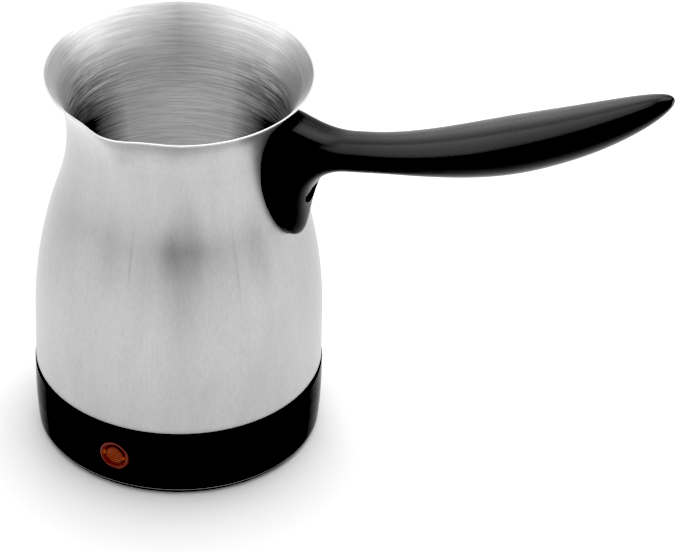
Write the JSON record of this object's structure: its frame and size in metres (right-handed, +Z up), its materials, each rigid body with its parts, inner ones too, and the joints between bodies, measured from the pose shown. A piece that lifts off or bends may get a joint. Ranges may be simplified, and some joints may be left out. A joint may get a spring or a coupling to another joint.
{
  "type": "electric turkish coffee maker",
  "caption": "Electric cezve: flared steel pot with a pouring spout and long moulded handle, fixed on a round heated base with an indicator lamp and a thermostat.",
  "frame": {"origin": "on the pot's axis, at the plane that the rubber foot ring stands on", "axes": "+Z up along the pot's axis, +X towards the handle's tip, -Y towards the spout and the lamp, +Y towards the cord entry"},
  "size_m": [0.2312, 0.1037, 0.1892],
  "materials": {
    "spun_steel": "satin, spun",
    "handle_plastic": "satin black moulding",
    "base_plastic": "gloss black moulding",
    "cover_plastic": "matt black moulding",
    "amber_lens": "translucent amber",
    "foot_rubber": "matt",
    "gland_rubber": "matt",
    "seal_silicone": "matt",
    "bracket_steel": "plain",
    "screw_steel": "zinc plated",
    "tab_brass": "tinned",
    "spring_brass": "rolled",
    "contact_silver": "polished",
    "terminal_tin": "tinned",
    "plate_aluminium": "plain",
    "element_sheath": "plain",
    "seal_ceramic": "glazed end seal",
    "cap_aluminium": "plain",
    "phenolic": "matt brown",
    "bimetal": "rolled",
    "pin_ceramic": "matt white",
    "fuse_metal": "tinned",
    "lamp_nylon": "natural",
    "bulb_glass": "clear",
    "resistor_body": "lacquered",
    "clamp_nylon": "natural",
    "lead_red": "silicone insulation",
    "lead_blue": "silicone insulation",
    "lead_white": "silicone insulation"
  },
  "bodies": {
    "body": {"pot_vessel": "spun_steel", "handle_bracket": "bracket_steel", "handle": "handle_plastic", "handle_screw": "screw_steel", "handle_washer": "screw_steel", "vessel_studs": "screw_steel", "stud_washers": "screw_steel", "stud_nuts": "screw_steel", "earth_tag": "tab_brass", "vessel_gasket": "seal_silicone", "heat_spreader": "plate_aluminium", "heating_element": "element_sheath", "element_seals": "seal_ceramic", "element_pins": "terminal_tin", "thermostat_cap": "cap_aluminium", "thermostat_body": "phenolic", "bimetal_disc": "bimetal", "fixed_contact": "contact_silver", "thermostat_tabs": "tab_brass", "thermostat_bracket": "bracket_steel", "thermostat_screws": "screw_steel", "thermal_fuse": "fuse_metal", "fuse_clip": "bracket_steel", "fuse_screw": "screw_steel", "lamp_lens": "amber_lens", "lamp_body": "lamp_nylon", "neon_bulb": "bulb_glass", "lamp_resistor": "resistor_body", "lamp_retainer": "bracket_steel", "lamp_tabs": "tab_brass", "base_housing": "base_plastic", "bottom_cover": "cover_plastic", "cover_screws": "screw_steel", "foot_ring": "foot_rubber", "cord_gland": "gland_rubber", "cord_clamp": "clamp_nylon", "clamp_screws": "screw_steel", "fuse_lead": "lead_red", "heater_lead": "lead_red", "lamp_lead_a": "lead_blue", "lamp_lead_b": "lead_white", "lead_terminals": "terminal_tin"},
    "push_pin": {"push_pin": "pin_ceramic"},
    "contact_arm": {"contact_arm": "spring_brass"}
  },
  "joints": [
    {"name": "pin_slide", "type": "slide", "parent": "body", "child": "push_pin", "axis": [0, 0, -1], "range_m": [0, 0.0005], "deforming": ["bimetal_disc"]},
    {"name": "arm_hinge", "type": "hinge", "parent": "body", "child": "contact_arm", "pos_m": [-0.005, 0, 0.013], "axis": [0, 1, 0], "range_deg": [0, 5.8], "stiffness_Nm_per_rad": 0.02}
  ],
  "couplings": [
    {"joint": "arm_hinge", "follows": "pin_slide", "rad_per_m": 200}
  ]
}
